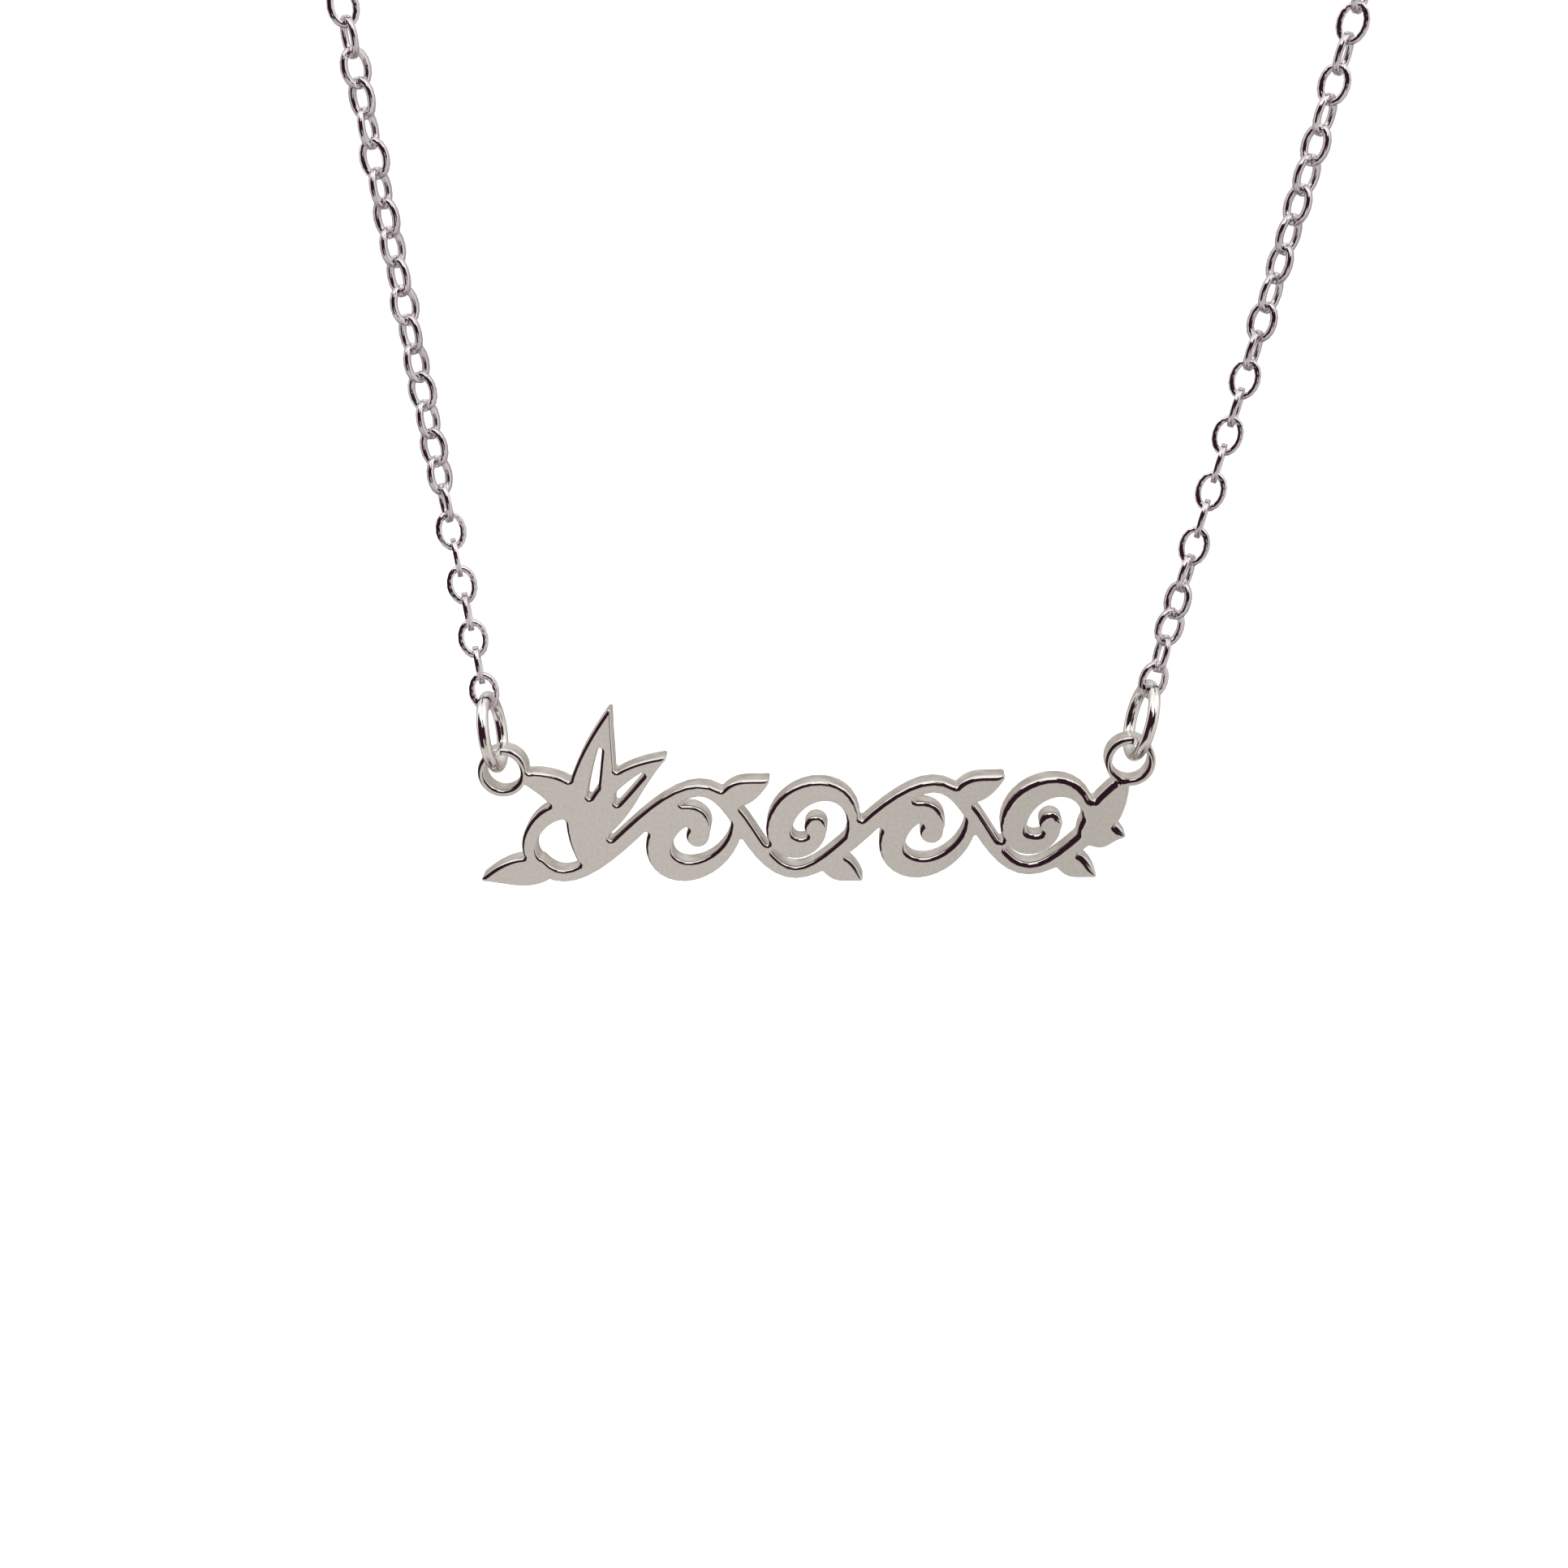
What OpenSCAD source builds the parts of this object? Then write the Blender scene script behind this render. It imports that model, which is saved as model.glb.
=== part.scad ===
// Pendant necklace: an openwork scroll plate on two jump rings and a fine cable chain.
// Millimetres, +Z up, front towards -Y. The origin is the middle of the neck, at nape height.

/* [Plate] */
// Thickness of the sheet that the plate is cut from
plate_t = 1.5; // [1.1:0.1:1.6]
// Height of the scroll band
band_h = 6.5; // [5.8:0.1:7.2]
// Height of the tall leaf at the left end
tall_h = 11; // [10:0.1:12.5]
// Slant of the whole ornament in degrees
slant = 14; // [0:1:18]
// Width of the thin vine and of the volutes' ends
thin_w = 0.7; // [0.5:0.05:0.85]
// Width of the volutes at their thickest
thick_w = 1.55; // [1.2:0.05:1.7]
// Width of a leaf
leaf_w = 1.25; // [1:0.05:1.5]
// Width of the tall leaf
tall_leaf_w = 2.4; // [2:0.05:2.8]
// Width of the pierced veins
vein_w = 0.5; // [0.4:0.05:0.6]
// Diameter of the buds in the volutes
bud_d = 1.35; // [1:0.05:1.6]
// Radius that softens the corners of the cut sheet
fillet_r = 0.12; // [0.05:0.01:0.15]

/* [Hanging loops] */
// Distance between the centres of the two loops
loop_span = 36.3; // [34:0.1:40]
// Height of the loops' centres above the lower edge of the plate
loop_rise = 7.1; // [6.8:0.1:7.6]
// Hole in a loop
loop_hole = 2.1; // [1.9:0.05:2.4]
// Width of the metal round the hole
loop_wall = 0.4; // [0.3:0.05:0.6]

/* [Jump rings] */
// Outer diameter of a jump ring
ring_d = 4.8; // [4.4:0.1:5.6]
// Wire of a jump ring
ring_wire = 0.7; // [0.5:0.05:0.75]
// Turn of the left ring about its strand, front outward, in degrees
ring_turn_left = 4; // [0:1:5]
// Turn of the right ring about its strand, front outward, in degrees
ring_turn_right = 7; // [0:1:8]
// How far outward of its loop's middle the left ring hangs
ring_out_left = 0.25; // [0:0.05:0.3]
// How far outward of its loop's middle the right ring hangs
ring_out_right = 0.1; // [0:0.05:0.3]

/* [Chain] */
// Distance from one link to the next
link_pitch = 1.6; // [1.5:0.05:1.8]
// Outer width of a link
link_w = 1.6; // [1.5:0.05:1.8]
// Wire of a link
link_wire = 0.28; // [0.22:0.01:0.32]
// Play between a link and its neighbour
link_play = 0.14; // [0.12:0.01:0.2]

/* [Clasp] */
// Outer diameter of the round clasp
clasp_d = 6; // [5:0.1:8]
// Tube of the clasp
clasp_tube = 0.85; // [0.7:0.05:0.9]
// Outer diameter of the eye beside the clasp
eye_d = 2.3; // [2.1:0.05:2.6]
// Wire of the eye
eye_wire = 0.6; // [0.5:0.05:0.65]

/* [Hang] */
// Lean of the left strand from upright in degrees
lean_left = 7.7; // [5:0.1:12]
// Lean of the right strand from upright in degrees
lean_right = 15.5; // [10:0.1:18]
// Distance that the plate hangs left of the middle of the neck
plate_left = 6; // [0:0.5:10]
// Distance from the middle of the neck forward to the plate
front_reach = 50; // [44:1:60]
// Distance from the middle of the neck back to the clasp
nape_reach = 50.5; // [44:0.5:60]
// Height from the jump rings' centres up to the clasp
drop = 83; // [76:1:100]
// Length of each strand that hangs straight above its jump ring
straight = 44; // [40:1:50]

/* [Hidden] */
$fn = 48;

// Gap between parts that hang in one another
seat_gap = 0.12;
// Gap between a ring and the top of the loop that swings on it
swing_gap = 0.25;
// Gap between the right end of the vine and the loop beside it
vine_gap = 0.3;
// Number of volutes in the scroll band
volutes = 4;
// Steps along one stroke
steps = 36;
// Handles of the curve that carries the chain round the neck
front_handle = 48;
nape_handle = 80;
// Turn of the links about the strand: [link number, degrees], straight between the rows
turn_left = [
    [1, 6], [6, 8], [8, 28], [10, 66], [12, 70], [15, 42], [17, 58], [21, 72], [23, 38], [26, 15], [34, 0]];
turn_right = [
    [1, 12], [3, 18], [5, 66], [10, 85], [12, 72], [14, 50], [18, 38], [20, 48], [24, 68], [34, 0]];

x_loop = loop_span / 2;
loop_d = loop_hole + 2 * loop_wall;
ring_r = (ring_d - ring_wire) / 2;
link_hole = link_pitch + link_play;
link_half = (link_hole + link_wire) / 2;
clasp_r = (clasp_d - clasp_tube) / 2;
eye_r = (eye_d - eye_wire) / 2;
eye_x = clasp_r + clasp_tube / 2 + eye_r;
// The loops' centres hang this far below the rings' centres. A leaning ring passes higher in its loop.
ring_seat = sqrt(pow(ring_r - ring_wire / 2, 2) - pow(plate_t / 2, 2)) * cos(max(lean_left, lean_right));
hang = ring_seat - swing_gap + loop_hole / 2;

mid = band_h / 2;
swing = mid - thin_w;
// The vine starts short of its first trough, which lies this far right of the left loop
vine_in = 3.9;
vine_start = -0.25;
// Radius of the tendril at that end
end_r = swing * 0.7;
first_x = vine_in - x_loop;
bay = (x_loop - loop_d / 2 - vine_gap - first_x) / (volutes + 0.5);

function mix(a, b, f) = a + (b - a) * f;
function lean(p) = [p[0] + tan(slant) * (p[1] - mid), p[1]];
// The point that the slant brings to p
function unlean(p) = [p[0] - tan(slant) * (p[1] - mid), p[1]];
// Unit normal of a line of points at point i
function normal(p, i) =
    let (d = p[min(i + 1, len(p) - 1)] - p[max(i - 1, 0)]) [-d[1], d[0]] / norm(d);
// The vine: a wave with a low point at whole even numbers and a high point at odd ones
function vine_at(s) = [first_x + bay * s, mid - swing * cos(180 * s)];
// A bowed line from a to c that leans towards b
function bow(a, b, c) =
    [for (i = [0:steps / 2]) let (t = 2 * i / steps) a * (1 - t) ^ 2 + 2 * b * t * (1 - t) + c * t ^ 2];

// A stroke of changing width along the points p, leant by the slant
module stroke(p, w) {
    q = [for (v = p) lean(v)];
    polygon(concat(
        [for (i = [0:len(q) - 1]) q[i] + normal(q, i) * w[i] / 2],
        [for (i = [len(q) - 1:-1:0]) q[i] - normal(q, i) * w[i] / 2]));
}

// A pointed leaf from its foot to its tip, bowed sideways by bend times its length
module leaf(from, to, width, bend, foot) {
    d = to - from;
    stroke(bow(from, (from + to) / 2 + [-d[1], d[0]] * bend, to),
        [for (i = [0:steps / 2]) let (t = 2 * i / steps) foot * (1 - t) + width * sin(180 * pow(t, 0.8))]);
}

// A leaf with a pierced vein
module veined_leaf(from, to, width, bend) {
    side = bend * [from[1] - to[1], to[0] - from[0]];
    difference() {
        leaf(from, to, width, bend, thin_w);
        leaf(mix(from, to, 0.2) + side * 0.35, mix(from, to, 0.85) + side * 0.22,
            vein_w, bend * 0.4, vein_w / 4);
    }
}

// A volute about the point c: it leaves the vine at the point from and winds in to a bud.
// way is 1 where it turns clockwise and -1 where it turns the other way.
module volute(c, from, way) {
    d = from - c;
    r0 = norm(d);
    r1 = bud_d * 0.45;
    a0 = atan2(way * d[1], d[0]);
    f = [for (i = [0:steps]) i / steps];
    stroke(
        [for (v = f) let (a = a0 - 390 * v, r = mix(r1, r0, pow(1 - v, 0.9)))
            c + r * [cos(a), way * sin(a)]],
        [for (v = f) mix(thin_w, thick_w, pow(sin(180 * v), 2))]);
    translate(lean(c + [bud_d / 3, 0])) circle(d = bud_d);
}

module vine() {
    t = [for (s = [vine_start:3 / steps:volutes + 0.5]) s];
    stroke([for (s = t) vine_at(s)], [for (s = t) thin_w * (1 + 0.4 * pow(sin(180 * s), 2))]);
}

// The palmette: a tall leaf between two side leaves, the left one of which carries the loop
module palmette() {
    root = vine_at(0.2);
    heart = root + [-0.2, 1.6];
    tip = [root[0] - 0.7, tall_h];
    veined_leaf(root, tip, tall_leaf_w, 0.09);
    veined_leaf(heart, [tip[0] + 4, band_h + 1.4], tall_leaf_w * 0.8, 0.25);
    leaf(heart, unlean([-x_loop, loop_rise - 0.2]), leaf_w * 1.2, -0.3, thin_w);
}

// The left end of the vine turns back in a round tendril and carries a long leaf
module vine_end() {
    start = vine_at(vine_start);
    ahead = start - vine_at(vine_start + 0.1);
    spoke = end_r * [-ahead[1], ahead[0]] / norm(ahead);
    a0 = atan2(spoke[1], spoke[0]);
    f = [for (i = [0:steps]) i / steps];
    stroke(
        [for (v = f) let (a = a0 - 260 * v) start - spoke + end_r * [cos(a), sin(a)]],
        [for (v = f) thin_w * (1 + 0.4 * sin(180 * v))]);
    leaf(vine_at(vine_start / 2), [first_x - 5, 0.5], leaf_w, -0.12, thin_w);
}

module scroll() {
    vine();
    vine_end();
    palmette();
    for (k = [1:volutes]) {
        way = k % 2 == 1 ? 1 : -1;
        x = vine_at(k)[0];
        volute([x + 0.1, mid - way * 0.2], vine_at(k + 0.38), way);
        leaf(vine_at(k + 0.2), [x + bay * 0.6, mid + way * (mid - 0.1)], leaf_w, -way * 0.12, thin_w * 0.6);
    }
    last = volutes + 0.4;
    leaf(vine_at(last), [x_loop, mid - 0.7], leaf_w, 0.25, thin_w);
    leaf(vine_at(last), unlean([x_loop, loop_rise - 0.3]), leaf_w, -0.1, thin_w * 1.5);
}

// Puts a flat drawing of the plate, whose lower edge is at height 0, on its place in the necklace
module at_plate() {
    translate([-plate_left, -front_reach, -drop - hang - loop_rise]) rotate([90, 0, 0]) children();
}

module at_loops() {
    for (s = [-1, 1]) translate([s * x_loop, loop_rise, 0]) children();
}

module nameplate() {
    color("silver") at_plate() difference() {
        union() {
            linear_extrude(plate_t, center = true)
                offset(r = fillet_r, $fn = 16) offset(r = -2 * fillet_r) offset(delta = fillet_r) scroll();
            at_loops() cylinder(d = loop_d, h = plate_t, center = true);
        }
        at_loops() cylinder(d = loop_hole, h = 2 * plate_t, center = true);
    }
}

module wire_ring(r, wire) {
    rotate_extrude() translate([r, 0]) circle(d = wire);
}

// Direction of a strand above its jump ring, and the centre of that ring. side is -1 or 1.
function strand_lean(side) = side < 0 ? lean_left : lean_right;
function strand_dir(side) = [side * sin(strand_lean(side)), 0, cos(strand_lean(side))];
function ring_out(side) = side < 0 ? ring_out_left : ring_out_right;
function ring_at(side) =
    [side * (x_loop + ring_out(side) + ring_r * sin(strand_lean(side))) - plate_left, -front_reach, -drop];

// A jump ring stands across the plate, in line with its strand
module jump_ring(side, turn) {
    color("gainsboro") translate(ring_at(side)) rotate([0, side * strand_lean(side), 0])
        rotate([0, 0, side * turn]) rotate([0, 90, 0]) wire_ring(ring_r, ring_wire);
}
module jump_ring_left() { jump_ring(-1, ring_turn_left); }
module jump_ring_right() { jump_ring(1, ring_turn_right); }

// The clasp lies flat on the nape: a round tube with an eye at its left and a nib on its rim
module clasp() {
    color("silver") translate([0, nape_reach, 0]) rotate([90, 0, 0]) {
        wire_ring(clasp_r, clasp_tube);
        translate([-eye_x, 0, 0]) wire_ring(eye_r, eye_wire);
        rotate(50) translate([clasp_r, 0, 0]) rotate([0, 90, 0])
            cylinder(d = clasp_tube * 0.8, h = clasp_tube * 1.3);
    }
}

// The strand's route runs from the middle of its first link to the middle of its last
function first_at(side) =
    ring_at(side) + strand_dir(side) * (ring_r - ring_wire / 2 - seat_gap + link_hole / 2);
function last_at(side) = side < 0
    ? [-(eye_x + eye_r - eye_wire / 2 - seat_gap + link_hole / 2), nape_reach, 0]
    : [clasp_r - clasp_tube / 2 - seat_gap + link_hole / 2, nape_reach, 0];
function cubic(p, t) =
    p[0] * (1 - t) ^ 3 + 3 * p[1] * (1 - t) ^ 2 * t + 3 * p[2] * (1 - t) * t ^ 2 + p[3] * t ^ 3;
function route(side) =
    let (
        bend = ring_at(side) + strand_dir(side) * straight,
        nape = last_at(side),
        p = [bend, bend + strand_dir(side) * front_handle, nape + [side * nape_handle, 0, 0], nape]
    )
    concat([first_at(side)], [for (i = [0:90]) cubic(p, i / 90)]);
function running(p) =
    [for (i = 0, s = 0; i < len(p); s = s + norm(p[min(i + 1, len(p) - 1)] - p[i]), i = i + 1) s];
function index(run, s) = min(len(run) - 2, len([for (r = run) if (r <= s) 1]) - 1);
function between(a, b, x0, x1, x) = mix(a, b, (x - x0) / (x1 - x0));
function point(p, run, s) = let (i = index(run, s)) between(p[i], p[i + 1], run[i], run[i + 1], s);

// Turn of link k, read from a table of rows [link number, degrees]
function turn_at(rows, k) = k >= rows[len(rows) - 1][0] ? 0 :
    let (i = len([for (r = rows) if (r[0] <= k) 1]) - 1)
    between(rows[i][1], rows[i + 1][1], rows[i][0], rows[i + 1][0], k);

// Outward direction of the skin: to the front along the straight stretch, then round to the nape
function outward(side, share) =
    let (a = 180 * pow(max(0, (share - 0.25) / 0.75), 1.2)) [side * sin(a), -cos(a), 0];

// An oval link of round wire, lying in the XY plane with its length along X
module link() {
    w = (link_w - link_wire) / 2;
    // Whole thousandths keep the arcs and the bars meeting exactly
    reach = round(1000 * (link_half - w)) / 1000;
    for (s = [0, 180]) rotate(s) {
        translate([reach, 0, 0]) rotate(-90) rotate_extrude(angle = 180)
            translate([w, 0]) circle(d = link_wire);
        translate([0, w, 0]) rotate([0, 90, 0]) cylinder(d = link_wire, h = 2 * reach, center = true);
    }
}

module chain(side, rows) {
    p = route(side);
    run = running(p);
    total = run[len(run) - 1];
    n = 2 * round((total / link_pitch + 1) / 2);
    for (k = [1:n]) {
        s = total * (k - 1) / (n - 1);
        ahead = point(p, run, min(total, s + 0.1)) - point(p, run, max(0, s - 0.1));
        t = ahead / norm(ahead);
        o = outward(side, s / total);
        flat = o - t * (o * t);
        b = cross(flat / norm(flat), t);
        turn = 90 * (k - 1) + turn_at(rows, k);
        y = b * cos(turn) + cross(t, b) * sin(turn);
        z = cross(t, y);
        c = point(p, run, s);
        multmatrix([for (i = [0:3]) i == 3 ? [0, 0, 0, 1] : [t[i], y[i], z[i], c[i]]]) link();
    }
}
module chain_left() { color("lightgray") chain(-1, turn_left); }
module chain_right() { color("lightgray") chain(1, turn_right); }

nameplate();
jump_ring_left();
jump_ring_right();
chain_left();
chain_right();
clasp();
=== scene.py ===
"""Looks of the nameplate necklace: an openwork scroll plate on two jump rings and a fine cable chain.

Every piece is polished steel. Sizes are metres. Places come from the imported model.
"""

import bmesh
import bpy
import numpy as np
from mathutils import Matrix, Vector


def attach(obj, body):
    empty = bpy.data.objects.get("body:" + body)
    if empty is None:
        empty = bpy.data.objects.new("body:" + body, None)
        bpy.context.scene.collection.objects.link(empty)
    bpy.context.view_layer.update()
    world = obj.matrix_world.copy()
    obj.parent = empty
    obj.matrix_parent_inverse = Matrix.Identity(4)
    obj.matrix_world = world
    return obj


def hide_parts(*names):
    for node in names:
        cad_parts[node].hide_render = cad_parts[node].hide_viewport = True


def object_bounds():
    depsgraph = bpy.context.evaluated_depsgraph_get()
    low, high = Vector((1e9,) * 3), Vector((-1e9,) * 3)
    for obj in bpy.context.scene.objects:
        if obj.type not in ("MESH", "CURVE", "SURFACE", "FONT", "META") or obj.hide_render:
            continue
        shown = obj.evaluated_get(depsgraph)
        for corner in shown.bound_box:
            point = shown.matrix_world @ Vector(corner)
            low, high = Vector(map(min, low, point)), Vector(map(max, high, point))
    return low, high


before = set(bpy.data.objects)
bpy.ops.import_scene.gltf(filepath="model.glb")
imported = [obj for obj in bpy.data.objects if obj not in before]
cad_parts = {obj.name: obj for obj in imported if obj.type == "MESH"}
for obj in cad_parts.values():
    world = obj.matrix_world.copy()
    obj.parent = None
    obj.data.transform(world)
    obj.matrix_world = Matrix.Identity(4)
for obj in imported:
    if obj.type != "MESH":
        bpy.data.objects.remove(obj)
cad_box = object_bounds()

MM = 0.001
TAU = 2 * np.pi

# Camera, fitted to the loops, rings and links
IMAGE_PX = 1932
FOCAL_PX = 2982
SENSOR_MM = 36
CAMERA_AT = Vector((-2.2, -184.57, -45.29)) * MM
AZIMUTH, ELEVATION, CAMERA_ROLL = np.radians([2.4, 17.0, 1.684])
NEAREST, FARTHEST = 0.005, 20

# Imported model: points this near are one point, and a face's corners lie this near its plane
MERGE_STEP = 0.0005 * MM
FLAT_WITHIN = 0.001 * MM

# Plate: turn of its rolled edge from the face to the wall, with the radius of the bend at each
ROLL_TURN = np.radians([0, 3, 6, 10, 14, 19, 25, 32, 40, 50, 60, 75, 90])
FRONT_BEND = np.array([0.3, 0.3, 0.32, 0.32, 0.32, 0.32, 0.26, 0.22, 0.2, 0.18, 0.15, 0.1, 0.1]) * MM
BACK_BEND = np.full(len(ROLL_TURN), 0.1) * MM
# Upper edges are worn wider towards the right end: share added there to the bend's shallow turns
WORN = 2.2
WORN_TURN = np.radians(30)
WORN_POWER = 3
# Size of the bend on a lower edge, as a share of that on an upper one
LOWER_EDGE = 0.25
# Share of the room inside that a bend may take: on a lower edge, and what an upper one adds
ROOM_LOWER, ROOM_ADDED = 0.5, 0.9
ROOM_SOFTENED = 3
# Outline: shortest step and fewest points that count, spline steps to a point, and the even step
SHORTEST_STEP = 0.002 * MM
FEWEST_POINTS = 8
SPLINE_STEPS = 10
OUTLINE_STEP = 0.08 * MM
# Room inside: the outline is taken in this many parts, and with no other edge near it is this wide
ROOM_PARTS = 24
ROOM_OPEN = 1.0

# Chain link: outer length and width, and the wire's width in the link's plane and across it
LINK_LONG = 2.29 * MM
LINK_WIDE = 1.73 * MM
LINK_BAND = 0.33 * MM
LINK_DEEP = 0.31 * MM
# The wire's section: corners of a rectangle. Columns: outward, sideways
LINK_SECTION = np.array([(1, 1), (-1, 1), (-1, -1), (1, -1)]) * (LINK_BAND / 2, LINK_DEEP / 2)
LINK_AROUND = 16
LINK_TILT = np.radians(4.0)
LINK_SEED = 7

# Jump rings, with the place and width of their seam, and clasp
RING_AROUND = 160
WIRE_AROUND = 28
SEAM_AT = np.radians(205)
SEAM = 0.03 * MM
CLASP_SHARP = np.radians(40)

# Steel: noise values between which its clouds run, for colour and for roughness, and its grain. The colour
# clouds are mottling, and on the walls and the chain they are also painted shade and painted dark
# reflections
CLOUD_DETAIL = 4.0
MOTTLE_AND_SHADE_FROM, MOTTLE_AND_SHADE_TO = 0.35, 0.65
ROUGH_FROM, ROUGH_TO = 0.3, 0.7
SMOOTHER, ROUGHER = 0.8, 1.3
GRAIN_SCALE, GRAIN_DETAIL = 9000.0, 3.0
GRAIN_HEIGHT = 0.02 * MM

# Floor
FLOOR_HALF = 3.0
FLOOR_BELOW = 0.25
FLOOR_GLOW = 0.5


def grey(value, warm=0.0):
    """A grey whose red is raised and blue lowered by the share warm."""
    return value * (1 + warm), value, value * (1 - warm)


# Studio dome: elevation in degrees and colour, beside, ahead of and behind the wearer
PLUM = (0.028, 0.010, 0.018)
BESIDE = [
    (-90, grey(0.08)), (-75, (0.33, 0.30, 0.32)), (-50, (0.55, 0.51, 0.53)), (-20, grey(0.62, 0.01)),
    (20, grey(0.75)), (45, grey(1.1)), (90, grey(0.9)),
]
AHEAD = [
    (-90, grey(0.05)), (-78, PLUM), (-68, (0.3, 0.27, 0.29)), (-50, (0.55, 0.51, 0.53)),
    (-18, grey(0.54, 0.04)), (-9, grey(0.54, 0.04)), (-4, grey(0.3, 0.03)), (-2, PLUM), (29, PLUM),
    (33, grey(0.8)), (40, grey(1.25)), (90, grey(0.9)),
]
BEHIND = [
    (-90, grey(0.12)), (-45, grey(0.25, 0.05)), (-5, grey(0.36, 0.06)), (14, grey(0.46, 0.03)),
    (30, grey(0.58, 0.01)), (60, grey(0.85)), (90, grey(0.9)),
]
# Ranges in degrees: from, to, and how far they fade beyond. Azimuth is 0 ahead, + to the right
AHEAD_RANGE = (-52, 42, 14)
BEHIND_RANGE = (125, 200, 25)
# Cards in front of the dome: azimuth range, elevation range, colour
CARDS = [
    ((5, 40, 9), (-40, -4, 6), (0.50, 0.483, 0.46)),
    ((-90, -14, 3.5), (-27, 40, 7), PLUM),
    ((12, 29, 4), (-14, 48, 7), PLUM),
]
DOME_POWER = 1.35
BACKDROP_POWER = 1.1


def make_camera():
    """Aims the camera along its fitted direction and rolls it about that direction."""
    data = bpy.data.cameras.new("camera")
    data.sensor_width = SENSOR_MM
    data.lens = FOCAL_PX / IMAGE_PX * SENSOR_MM
    data.clip_start, data.clip_end = NEAREST, FARTHEST
    camera = bpy.data.objects.new("camera", data)
    bpy.context.scene.collection.objects.link(camera)
    level = np.cos(ELEVATION)
    back = Vector((np.sin(AZIMUTH) * level, -np.cos(AZIMUTH) * level, np.sin(ELEVATION)))
    turn = (-back).to_track_quat("-Z", "Y").to_matrix() @ Matrix.Rotation(-CAMERA_ROLL, 3, "Z")
    camera.matrix_world = Matrix.Translation(CAMERA_AT) @ turn.to_4x4()
    bpy.context.scene.camera = camera


def new_piece(name, points, faces, body, node, materials):
    """A smooth mesh piece at the origin that stands for a node and rides on its body."""
    mesh = bpy.data.meshes.new(name)
    faces = faces.tolist() if isinstance(faces, np.ndarray) else faces
    mesh.from_pydata(points.tolist(), [], faces)
    mesh.polygons.foreach_set("use_smooth", np.ones(len(mesh.polygons), bool))
    for material in materials:
        mesh.materials.append(material)
    mesh.update()
    piece = bpy.data.objects.new(name, mesh)
    bpy.context.scene.collection.objects.link(piece)
    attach(piece, body)
    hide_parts(node)
    return piece


def unit(v):
    """Vectors of length one along the last axis."""
    return v / np.linalg.norm(v, axis=-1, keepdims=True)


def ring_faces(rows, columns, start=0, close_rows=True):
    """Quads between neighbouring rows of a grid of points whose columns close on themselves.

    They face to the side that the cross product of row direction and column direction points to.
    """
    steps = np.arange(rows if close_rows else rows - 1)
    i, j = np.meshgrid(steps, np.arange(columns), indexing="ij")
    up, on = (i + 1) % rows, (j + 1) % columns
    corners = [i * columns + j, up * columns + j, up * columns + on, i * columns + on]
    return start + np.stack(corners, -1).reshape(-1, 4)


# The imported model's own points

def merged(node):
    """A node's points with doubles merged, and those of its triangles that still have three corners."""
    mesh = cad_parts[node].data
    points = np.empty(len(mesh.vertices) * 3, np.float32)
    mesh.vertices.foreach_get("co", points)
    corners = np.empty(len(mesh.loops), np.int32)
    mesh.loops.foreach_get("vertex_index", corners)
    points = points.reshape(-1, 3).astype(float)
    whole = np.round(points / MERGE_STEP).astype(np.int64)
    whole -= whole.min(0)
    span = whole.max(0) + 1
    key = (whole[:, 0] * span[1] + whole[:, 1]) * span[2] + whole[:, 2]
    _, first, place = np.unique(key, return_index=True, return_inverse=True)
    triangles = place.reshape(-1)[corners].reshape(-1, 3)
    return points[first], triangles[(triangles != np.roll(triangles, 1, axis=1)).all(1)]


def islands(points, triangles):
    """The groups of points that hang together: each point takes the lowest label of its triangles."""
    label = np.arange(len(points))
    while True:
        lowest = label[triangles].min(1)
        new = label.copy()
        np.minimum.at(new, triangles.ravel(), np.repeat(lowest, 3))
        new = new[new]
        if (new == label).all():
            break
        label = new
    order = np.argsort(label, kind="stable")
    cuts = np.nonzero(np.diff(label[order]))[0] + 1
    return [points[part] for part in np.split(order, cuts)]


def own_frame(points):
    """Middle and axes of a flat, long form: the directions in which it reaches most, less and least."""
    axes = np.linalg.svd(points - points.mean(0), full_matrices=False)[2]
    reach = points @ axes.T
    return (reach.max(0) + reach.min(0)) / 2 @ axes, axes


# Steel

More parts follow.
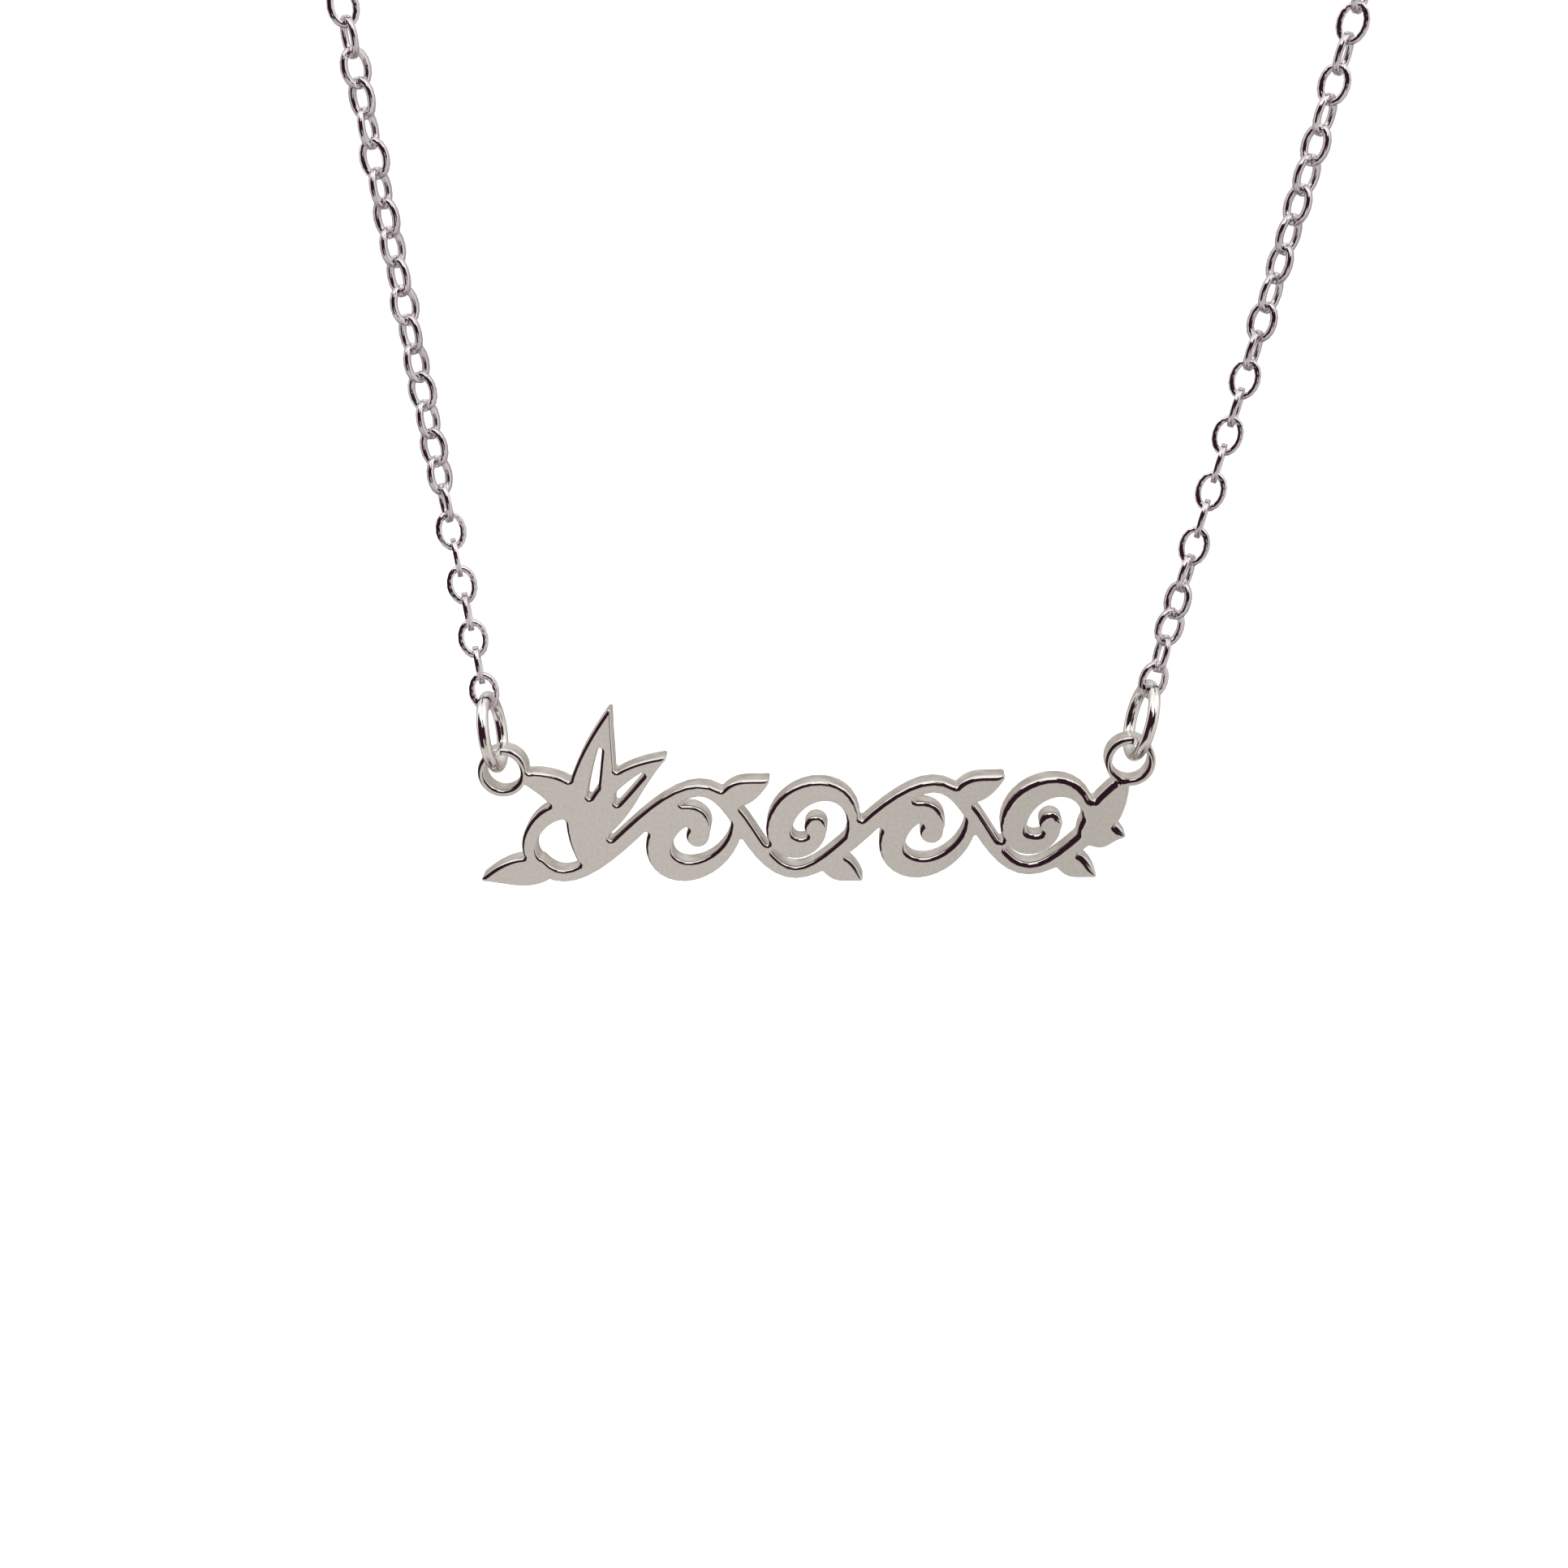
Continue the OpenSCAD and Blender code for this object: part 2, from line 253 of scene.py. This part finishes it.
def steel(name, colour, mottle_and_shade_colour, rough, cloud, grain, lines=None):
    """Polished steel with clouds of a duller colour, a fine grain, and cut lines where given. The clouds
    are mottling; where their colour is brown or dark plum they are also painted shade and painted dark
    reflections.
    """
    material = bpy.data.materials.new(name)
    material.use_nodes = True
    nodes, links = material.node_tree.nodes, material.node_tree.links
    shader = nodes["Principled BSDF"]
    shader.inputs["Metallic"].default_value = 1.0
    place = nodes.new("ShaderNodeTexCoord").outputs["Object"]

    def noise(scale, detail, stretch=None):
        """Noise on the piece's own place, stretched into lines where given."""
        node = nodes.new("ShaderNodeTexNoise")
        node.inputs["Scale"].default_value = scale
        node.inputs["Detail"].default_value = detail
        where = place
        if stretch:
            mapping = nodes.new("ShaderNodeMapping")
            mapping.inputs["Scale"].default_value = stretch
            links.new(place, mapping.inputs["Vector"])
            where = mapping.outputs["Vector"]
        links.new(where, node.inputs["Vector"])
        return node.outputs["Fac"]

    clouds = noise(cloud, CLOUD_DETAIL)
    # Colour clouds from the duller colour to the steel's own: mottling, and with a brown or dark plum
    # colour also painted shade and painted dark reflections
    mottle_and_shade_ramp = nodes.new("ShaderNodeValToRGB")
    for spot, at, shade in zip(mottle_and_shade_ramp.color_ramp.elements, (MOTTLE_AND_SHADE_FROM, MOTTLE_AND_SHADE_TO), (mottle_and_shade_colour, colour)):
        spot.position = at
        spot.color = (*shade, 1)
    links.new(clouds, mottle_and_shade_ramp.inputs["Fac"])
    links.new(mottle_and_shade_ramp.outputs["Color"], shader.inputs["Base Color"])

    spread = nodes.new("ShaderNodeMapRange")
    spread.inputs["From Min"].default_value = ROUGH_FROM
    spread.inputs["From Max"].default_value = ROUGH_TO
    spread.inputs["To Min"].default_value = rough * SMOOTHER
    spread.inputs["To Max"].default_value = rough * ROUGHER
    links.new(clouds, spread.inputs["Value"])
    links.new(spread.outputs["Result"], shader.inputs["Roughness"])

    bump = nodes.new("ShaderNodeBump")
    bump.inputs["Strength"].default_value = grain
    bump.inputs["Distance"].default_value = GRAIN_HEIGHT
    links.new(noise(GRAIN_SCALE, GRAIN_DETAIL, lines), bump.inputs["Height"])
    links.new(bump.outputs["Normal"], shader.inputs["Normal"])
    return material


# Plate

def outline_loops(points, triangles):
    """Outline and holes of the plate's front face: closed rows of (x, z), with the solid on their left."""
    front = points[:, 1].min()
    flat = np.all(np.abs(points[triangles][:, :, 1] - front) < FLAT_WITHIN, axis=1)
    edges = triangles[flat][:, [[0, 1], [1, 2], [2, 0]]].reshape(-1, 2)
    there = set(map(tuple, edges.tolist()))
    onward = {a: b for a, b in there if (b, a) not in there}
    loops = []
    while onward:
        at, walk = next(iter(onward)), []
        while at in onward:
            walk.append(at)
            at = onward.pop(at)
        row = points[walk][:, [0, 2]]
        row = row[np.linalg.norm(row - np.roll(row, 1, axis=0), axis=1) > SHORTEST_STEP]
        if len(row) >= FEWEST_POINTS:
            loops.append(row)
    return front, points[:, 1].max(), loops


def smooth_loop(p):
    """A closed curve through the points p (centripetal Catmull-Rom), cut into even steps.

    The knots stand apart by the root of the distance between the points. Between two knots the curve
    is blended from four points in three rounds, each with weights that run evenly between its knots.
    """
    q = [np.roll(p, k, axis=0) for k in (1, 0, -1, -2)]
    knot = [np.zeros(len(p))]
    for a, b in zip(q, q[1:]):
        knot.append(knot[-1] + np.sqrt(np.linalg.norm(b - a, axis=1)))
    t0, t1, t2, t3 = [k[:, None, None] for k in knot]
    t = t1 + (t2 - t1) * (np.arange(SPLINE_STEPS) / SPLINE_STEPS)[None, :, None]
    p0, p1, p2, p3 = [v[:, None] for v in q]
    a1 = (t1 - t) / (t1 - t0) * p0 + (t - t0) / (t1 - t0) * p1
    a2 = (t2 - t) / (t2 - t1) * p1 + (t - t1) / (t2 - t1) * p2
    a3 = (t3 - t) / (t3 - t2) * p2 + (t - t2) / (t3 - t2) * p3
    b1 = (t2 - t) / (t2 - t0) * a1 + (t - t0) / (t2 - t0) * a2
    b2 = (t3 - t) / (t3 - t1) * a2 + (t - t1) / (t3 - t1) * a3
    curve = ((t2 - t) / (t2 - t1) * b1 + (t - t1) / (t2 - t1) * b2).reshape(-1, 2)
    curve = np.vstack([curve, curve[:1]])
    run = np.concatenate([[0], np.cumsum(np.linalg.norm(np.diff(curve, axis=0), axis=1))])
    count = int(np.ceil(run[-1] / OUTLINE_STEP))
    s = np.arange(count) / count * run[-1]
    return np.stack([np.interp(s, run, curve[:, k]) for k in (0, 1)], 1)


def inward(p):
    """Unit normals of a closed row of points, towards the solid on its left."""
    along = np.roll(p, -1, axis=0) - np.roll(p, 1, axis=0)
    return unit(np.stack([-along[:, 1], along[:, 0]], 1))


def room_inside(p, n):
    """Radius of the largest circle that touches the outline at each point and lies in the solid.

    Through the point and any other point of the outline, at offset d, goes one such circle, of radius
    d.d / (2 d.n). The smallest of them all is the room.
    """
    room = np.full(len(p), ROOM_OPEN)
    for part in np.array_split(np.arange(len(p)), ROOM_PARTS):
        d = p[None] - p[part][:, None]
        across = (d * n[part][:, None]).sum(2)
        square = (d * d).sum(2)
        near = (across > 1e-9) & (square > 1e-12)
        radius = np.where(near, square / np.where(near, 2 * across, 1), ROOM_OPEN)
        room[part] = radius.min(1)
    return room


def soften(values, times):
    """A closed row of numbers, each averaged with its neighbours, several times over."""
    for _ in range(times):
        values = (np.roll(values, 1) + 2 * values + np.roll(values, -1)) / 4
    return values


def bend_steps(radius):
    """How far in from the wall and how deep under the face each step of a rolled edge lies.

    radius has a row for each point of the outline and a column for each step. A bend of radius r that
    turns by a small angle at turn t goes inward by r cos t and down by r sin t, times that angle.
    """
    middle = (radius[:, 1:] + radius[:, :-1]) / 2
    inset, deep = middle * np.diff(np.sin(ROLL_TURN)), -middle * np.diff(np.cos(ROLL_TURN))
    zero = np.zeros((len(radius), 1))
    inset = np.hstack([np.cumsum(inset[:, ::-1], 1)[:, ::-1], zero])
    return inset, np.hstack([zero, np.cumsum(deep, 1)])


def rolled_edge(p, n, room, upper, face, side, bend):
    """Points and normals of a rolled edge, a row for each step from the face to the wall.

    p and n are the outline and its inward normals. The face lies at y = face and looks to +y where
    side is 1, to -y where it is -1. A step at turn t lies at p + n inset and at y = face - side deep,
    and its normal is side cos t along y and -n sin t in the plate's plane. Where room is short, inset
    and deep are drawn smaller by one share. The bends of a stroke's two sides take less than its width.
    """
    inset, deep = bend_steps(bend)
    fits = room * (ROOM_LOWER + ROOM_ADDED * upper[:, 0]) / inset[:, 0]
    share = soften(np.minimum(fits, 1), ROOM_SOFTENED)[:, None]
    flat = p + n * share * inset.T[:, :, None]
    height = face - side * share[:, 0] * deep.T
    out = -n * np.sin(ROLL_TURN)[:, None, None]
    facing = np.broadcast_to(side * np.cos(ROLL_TURN)[:, None], height.shape)
    points = np.stack([flat[..., 0], height, flat[..., 1]], -1)
    return points, np.stack([out[..., 0], facing, out[..., 1]], -1)


def fill(points, rims, to_front):
    """Triangles that close a flat face between its rims, wound to face the front or the back."""
    form = bmesh.new()
    row = np.concatenate(rims)
    verts = [form.verts.new(points[k]) for k in row]
    edges, start = [], 0
    for rim in rims:
        ring = verts[start:start + len(rim)]
        edges += [form.edges.new(pair) for pair in zip(ring, ring[1:] + ring[:1])]
        start += len(rim)
    form.verts.index_update()
    made = bmesh.ops.triangle_fill(form, use_beauty=False, edges=edges, normal=(0, -1, 0))
    flat = [f for f in made["geom"] if isinstance(f, bmesh.types.BMFace)]
    bmesh.ops.recalc_face_normals(form, faces=flat)
    corners = np.array([[row[v.index] for v in f.verts] for f in flat])
    form.free()
    a, b, c = [points[corners[:, k]] for k in range(3)]
    faces_front = np.cross(b - a, c - a)[:, 1].sum() < 0
    return (corners if faces_front == to_front else corners[:, ::-1]).tolist()


def make_plate(face_steel, wall_steel):
    """The plate: one profile carried round each outline, and two flat faces.

    The profile is a tight bend at the back edge, the straight wall, and a wide, worn bend at the front
    edge.
    """
    front, back, loops = outline_loops(*merged("nameplate"))
    loops = [smooth_loop(p) for p in loops]
    normals = [inward(p) for p in loops]
    cuts = np.cumsum([len(p) for p in loops])[:-1]
    rooms = np.split(room_inside(np.vstack(loops), np.vstack(normals)), cuts)
    left, right = loops[0][:, 0].min(), loops[0][:, 0].max()
    rows, wall = 2 * len(ROLL_TURN), len(ROLL_TURN) - 1
    points, shades, faces, kinds, front_rims, back_rims = [], [], [], [], [], []
    start = 0
    for p, n, room in zip(loops, normals, rooms):
        count = len(p)
        along = np.clip((p[:, :1] - left) / (right - left), 0, 1) ** WORN_POWER
        upper = np.clip(0.5 - n[:, 1:], 0, 1)
        worn = 1 + WORN * along * upper * (ROLL_TURN < WORN_TURN)
        worn = (LOWER_EDGE + (1 - LOWER_EDGE) * upper) * worn
        plain = np.broadcast_to(BACK_BEND, worn.shape)
        behind = rolled_edge(p, n, room, upper, back, 1, plain)
        ahead = rolled_edge(p, n, room, upper, front, -1, FRONT_BEND * worn)
        points += [behind[0].reshape(-1, 3), ahead[0][::-1].reshape(-1, 3)]
        shades += [behind[1].reshape(-1, 3), ahead[1][::-1].reshape(-1, 3)]
        faces.append(ring_faces(rows, count, start, close_rows=False)[:, ::-1])
        kind = np.zeros(len(faces[-1]), int)
        kind[wall * count:(wall + 1) * count] = 1
        kinds.append(kind)
        back_rims.append(start + np.arange(count))
        front_rims.append(start + (rows - 1) * count + np.arange(count))
        start += rows * count
    points, shades = np.vstack(points), np.vstack(shades)
    caps = fill(points, front_rims, True) + fill(points, back_rims, False)
    kinds.append(np.zeros(len(caps), int))
    piece = new_piece(
        "scroll_plate", points, np.vstack(faces).tolist() + caps,
        "plate", "nameplate", [face_steel, wall_steel])
    piece.data.polygons.foreach_set("material_index", np.concatenate(kinds))
    piece.data.normals_split_custom_set_from_vertices(shades.tolist())


# Chain

def make_strand(name, node, material):
    """A strand of oval links: the section carried round an ellipse, once for each link of the model.

    In the link's own plane the wire's middle is at (long cos a, wide sin a), and outward is along
    (wide cos a, long sin a). Each link is tilted a little about its length.
    """
    places = [own_frame(p) for p in islands(*merged(node))]
    centre = np.array([c for c, _ in places])
    axes = np.array([a for _, a in places])
    axes[:, 2] = np.cross(axes[:, 0], axes[:, 1])
    tilt = np.random.default_rng(LINK_SEED).normal(0, LINK_TILT, len(places))[:, None]
    across, through = axes[:, 1].copy(), axes[:, 2].copy()
    axes[:, 1] = across * np.cos(tilt) + through * np.sin(tilt)
    axes[:, 2] = through * np.cos(tilt) - across * np.sin(tilt)
    long, wide = (LINK_LONG - LINK_BAND) / 2, (LINK_WIDE - LINK_BAND) / 2
    a = TAU * np.arange(LINK_AROUND) / LINK_AROUND
    path = np.stack([long * np.cos(a), wide * np.sin(a)], 1)
    out = unit(np.stack([wide * np.cos(a), long * np.sin(a)], 1))
    flat = path[:, None] + out[:, None] * LINK_SECTION[None, :, :1]
    sideways = np.broadcast_to(LINK_SECTION[None, :, 1:], (*flat.shape[:2], 1))
    local = np.concatenate([flat, sideways], 2)
    points = centre[:, None, None] + np.einsum("ijk,lkm->lijm", local, axes)
    per_link = LINK_AROUND * len(LINK_SECTION)
    faces = ring_faces(LINK_AROUND, len(LINK_SECTION))
    faces = (faces[None] + per_link * np.arange(len(places))[:, None, None]).reshape(-1, 4)
    new_piece(name, points.reshape(-1, 3), faces, "necklace", node, [material])


# Rings and clasp

def make_ring(name, node, material):
    """A jump ring with a hairline seam: a round section carried round a circle that stays just open.

    With u and v in the ring's plane and w across it, a point is at the centre, plus
    (radius + wire/2 cos b) (u cos a + v sin a), plus w wire/2 sin b. The two ends are flat.
    """
    points = merged(node)[0]
    centre, axes = own_frame(points)
    up = np.array([0.0, 0.0, 1.0])
    w = axes[2] * np.sign(axes[2][0])
    u = unit(up - w * (up @ w))
    v = np.cross(w, u)
    reach = (points - centre) @ np.array([u, w]).T
    wire = np.ptp(reach[:, 1])
    radius = reach[:, 0].max() - wire / 2
    half = SEAM / radius / 2
    a = SEAM_AT + half + (TAU - 2 * half) * np.arange(RING_AROUND) / (RING_AROUND - 1)
    b = TAU * np.arange(WIRE_AROUND) / WIRE_AROUND
    spoke = np.cos(a)[:, None] * u + np.sin(a)[:, None] * v
    in_plane = spoke[:, None] * (radius + wire / 2 * np.cos(b))[None, :, None]
    grid = centre + in_plane + w * (wire / 2 * np.sin(b))[None, :, None]
    faces = ring_faces(RING_AROUND, WIRE_AROUND, close_rows=False).tolist()
    last = (RING_AROUND - 1) * WIRE_AROUND
    faces += [list(range(WIRE_AROUND)), list(range(last, last + WIRE_AROUND))[::-1]]
    new_piece(name, grid.reshape(-1, 3), faces, "necklace", node, [material])


def make_clasp(material):
    """The bolt ring and its eye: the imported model's own faces, with only its sharp edges left sharp."""
    points, triangles = merged("clasp")
    piece = new_piece(
        "bolt_ring", points, triangles, "necklace", "clasp", [material])
    piece.data.set_sharp_from_angle(angle=CLASP_SHARP)


# Floor and light

def make_floor():
    """A pale floor well below the necklace, which the steel does not mirror."""
    mesh = bpy.data.meshes.new("floor")
    low = cad_box[0][2] - FLOOR_BELOW
    corners = [(x * FLOOR_HALF, y * FLOOR_HALF, low) for x, y in ((-1, -1), (1, -1), (1, 1), (-1, 1))]
    mesh.from_pydata(corners, [], [(0, 1, 2, 3)])
    floor = bpy.data.objects.new("floor", mesh)
    bpy.context.scene.collection.objects.link(floor)
    pale = bpy.data.materials.new("pale_floor")
    pale.use_nodes = True
    shader = pale.node_tree.nodes["Principled BSDF"]
    shader.inputs["Base Color"].default_value = (0.9, 0.9, 0.9, 1)
    shader.inputs["Roughness"].default_value = 0.8
    shader.inputs["Emission Color"].default_value = (1, 1, 1, 1)
    shader.inputs["Emission Strength"].default_value = FLOOR_GLOW
    mesh.materials.append(pale)
    floor.visible_glossy = False


def make_dome():
    """One soft dome, bright above and behind and dark at the front's horizon, on a white backdrop."""
    world = bpy.data.worlds.new("studio")
    bpy.context.scene.world = world
    world.use_nodes = True
    nodes, links = world.node_tree.nodes, world.node_tree.links
    nodes.clear()
    split = nodes.new("ShaderNodeSeparateXYZ")
    links.new(nodes.new("ShaderNodeTexCoord").outputs["Generated"], split.inputs["Vector"])

    def ramp(stops):
        """Colour by elevation, from the height of the direction looked in."""
        node = nodes.new("ShaderNodeValToRGB")
        node.color_ramp.interpolation = "EASE"
        row = node.color_ramp.elements
        while len(row) < len(stops):
            row.new(0.5)
        for spot, (elevation, colour) in zip(row, stops):
            spot.position = (np.sin(np.radians(elevation)) + 1) / 2
            spot.color = (*colour, 1)
        height = nodes.new("ShaderNodeMapRange")
        height.inputs["From Min"].default_value = -1
        links.new(split.outputs["Z"], height.inputs["Value"])
        links.new(height.outputs["Result"], node.inputs["Fac"])
        return node.outputs["Color"]

    def math(kind, *values):
        """A sum on one or two values, each a number or a socket."""
        node = nodes.new("ShaderNodeMath")
        node.operation = kind
        for socket, value in zip(node.inputs, values):
            if isinstance(value, float):
                socket.default_value = value
            else:
                links.new(value, socket)
        return node.outputs["Value"]

    def between(value, low, high, soft):
        """1 where an angle is from low to high, fading to 0 over soft outside them, all in degrees."""
        rise, fall = [nodes.new("ShaderNodeMapRange") for _ in range(2)]
        for node, a, b in ((rise, low - soft, low), (fall, high + soft, high)):
            node.interpolation_type = "SMOOTHSTEP"
            node.inputs["From Min"].default_value = np.radians(a)
            node.inputs["From Max"].default_value = np.radians(b)
            links.new(value, node.inputs["Value"])
        return math("MULTIPLY", rise.outputs["Result"], fall.outputs["Result"])

    def over(base, share, colour):
        """The base with a colour laid over it by its share."""
        mix = nodes.new("ShaderNodeMix")
        mix.data_type = "RGBA"
        links.new(share, mix.inputs["Factor"])
        links.new(base, mix.inputs["A"])
        if isinstance(colour, tuple):
            mix.inputs["B"].default_value = (*colour, 1)
        else:
            links.new(colour, mix.inputs["B"])
        return mix.outputs["Result"]

    turn = math("ARCTAN2", split.outputs["X"], math("MULTIPLY", split.outputs["Y"], -1.0))
    rise = math("ARCSINE", split.outputs["Z"])
    sky = over(ramp(BESIDE), between(turn, *AHEAD_RANGE), ramp(AHEAD))
    sky = over(sky, between(math("ABSOLUTE", turn), *BEHIND_RANGE), ramp(BEHIND))
    for side, tall, colour in CARDS:
        card = math("MULTIPLY", between(turn, *side), between(rise, *tall))
        sky = over(sky, card, colour)
    dome = nodes.new("ShaderNodeBackground")
    dome.inputs["Strength"].default_value = DOME_POWER
    links.new(sky, dome.inputs["Color"])
    white = nodes.new("ShaderNodeBackground")
    white.inputs["Color"].default_value = (1, 1, 1, 1)
    white.inputs["Strength"].default_value = BACKDROP_POWER
    choose = nodes.new("ShaderNodeMixShader")
    seen = nodes.new("ShaderNodeLightPath")
    links.new(seen.outputs["Is Camera Ray"], choose.inputs["Fac"])
    links.new(dome.outputs["Background"], choose.inputs[1])
    links.new(white.outputs["Background"], choose.inputs[2])
    out = nodes.new("ShaderNodeOutputWorld")
    links.new(choose.outputs["Shader"], out.inputs["Surface"])
    bpy.context.scene.view_settings.view_transform = "Standard"


make_camera()
make_floor()
make_dome()

# Colour, duller colour of the clouds (mottling, and for the walls and the chain also painted shade and
# painted dark reflections), roughness, fineness of the clouds and strength of the grain
face_steel = steel("face_steel", (0.705, 0.675, 0.64), (0.64, 0.61, 0.575), 0.05, 5500.0, 0.03)
# The walls' brown clouds are mottling and also painted shade, standing in for the darker brownish walls
# inside the holes
wall_steel = steel(
    "wall_steel", (0.84, 0.815, 0.775), (0.54, 0.47, 0.40), 0.14, 900.0, 0.4, lines=(1.0, 0.15, 1.0))
# The chain's dark plum clouds are mottling and also painted dark reflections on the links' limbs
chain_steel = steel("chain_steel", (0.76, 0.72, 0.73), (0.62, 0.57, 0.59), 0.04, 400.0, 0.02)
ring_steel = steel("ring_steel", (0.82, 0.80, 0.775), (0.72, 0.69, 0.65), 0.05, 500.0, 0.04)

make_plate(face_steel, wall_steel)
make_ring("jump_ring_at_left", "jump_ring_left", ring_steel)
make_ring("jump_ring_at_right", "jump_ring_right", ring_steel)
make_strand("cable_chain_left", "chain_left", chain_steel)
make_strand("cable_chain_right", "chain_right", chain_steel)
make_clasp(ring_steel)
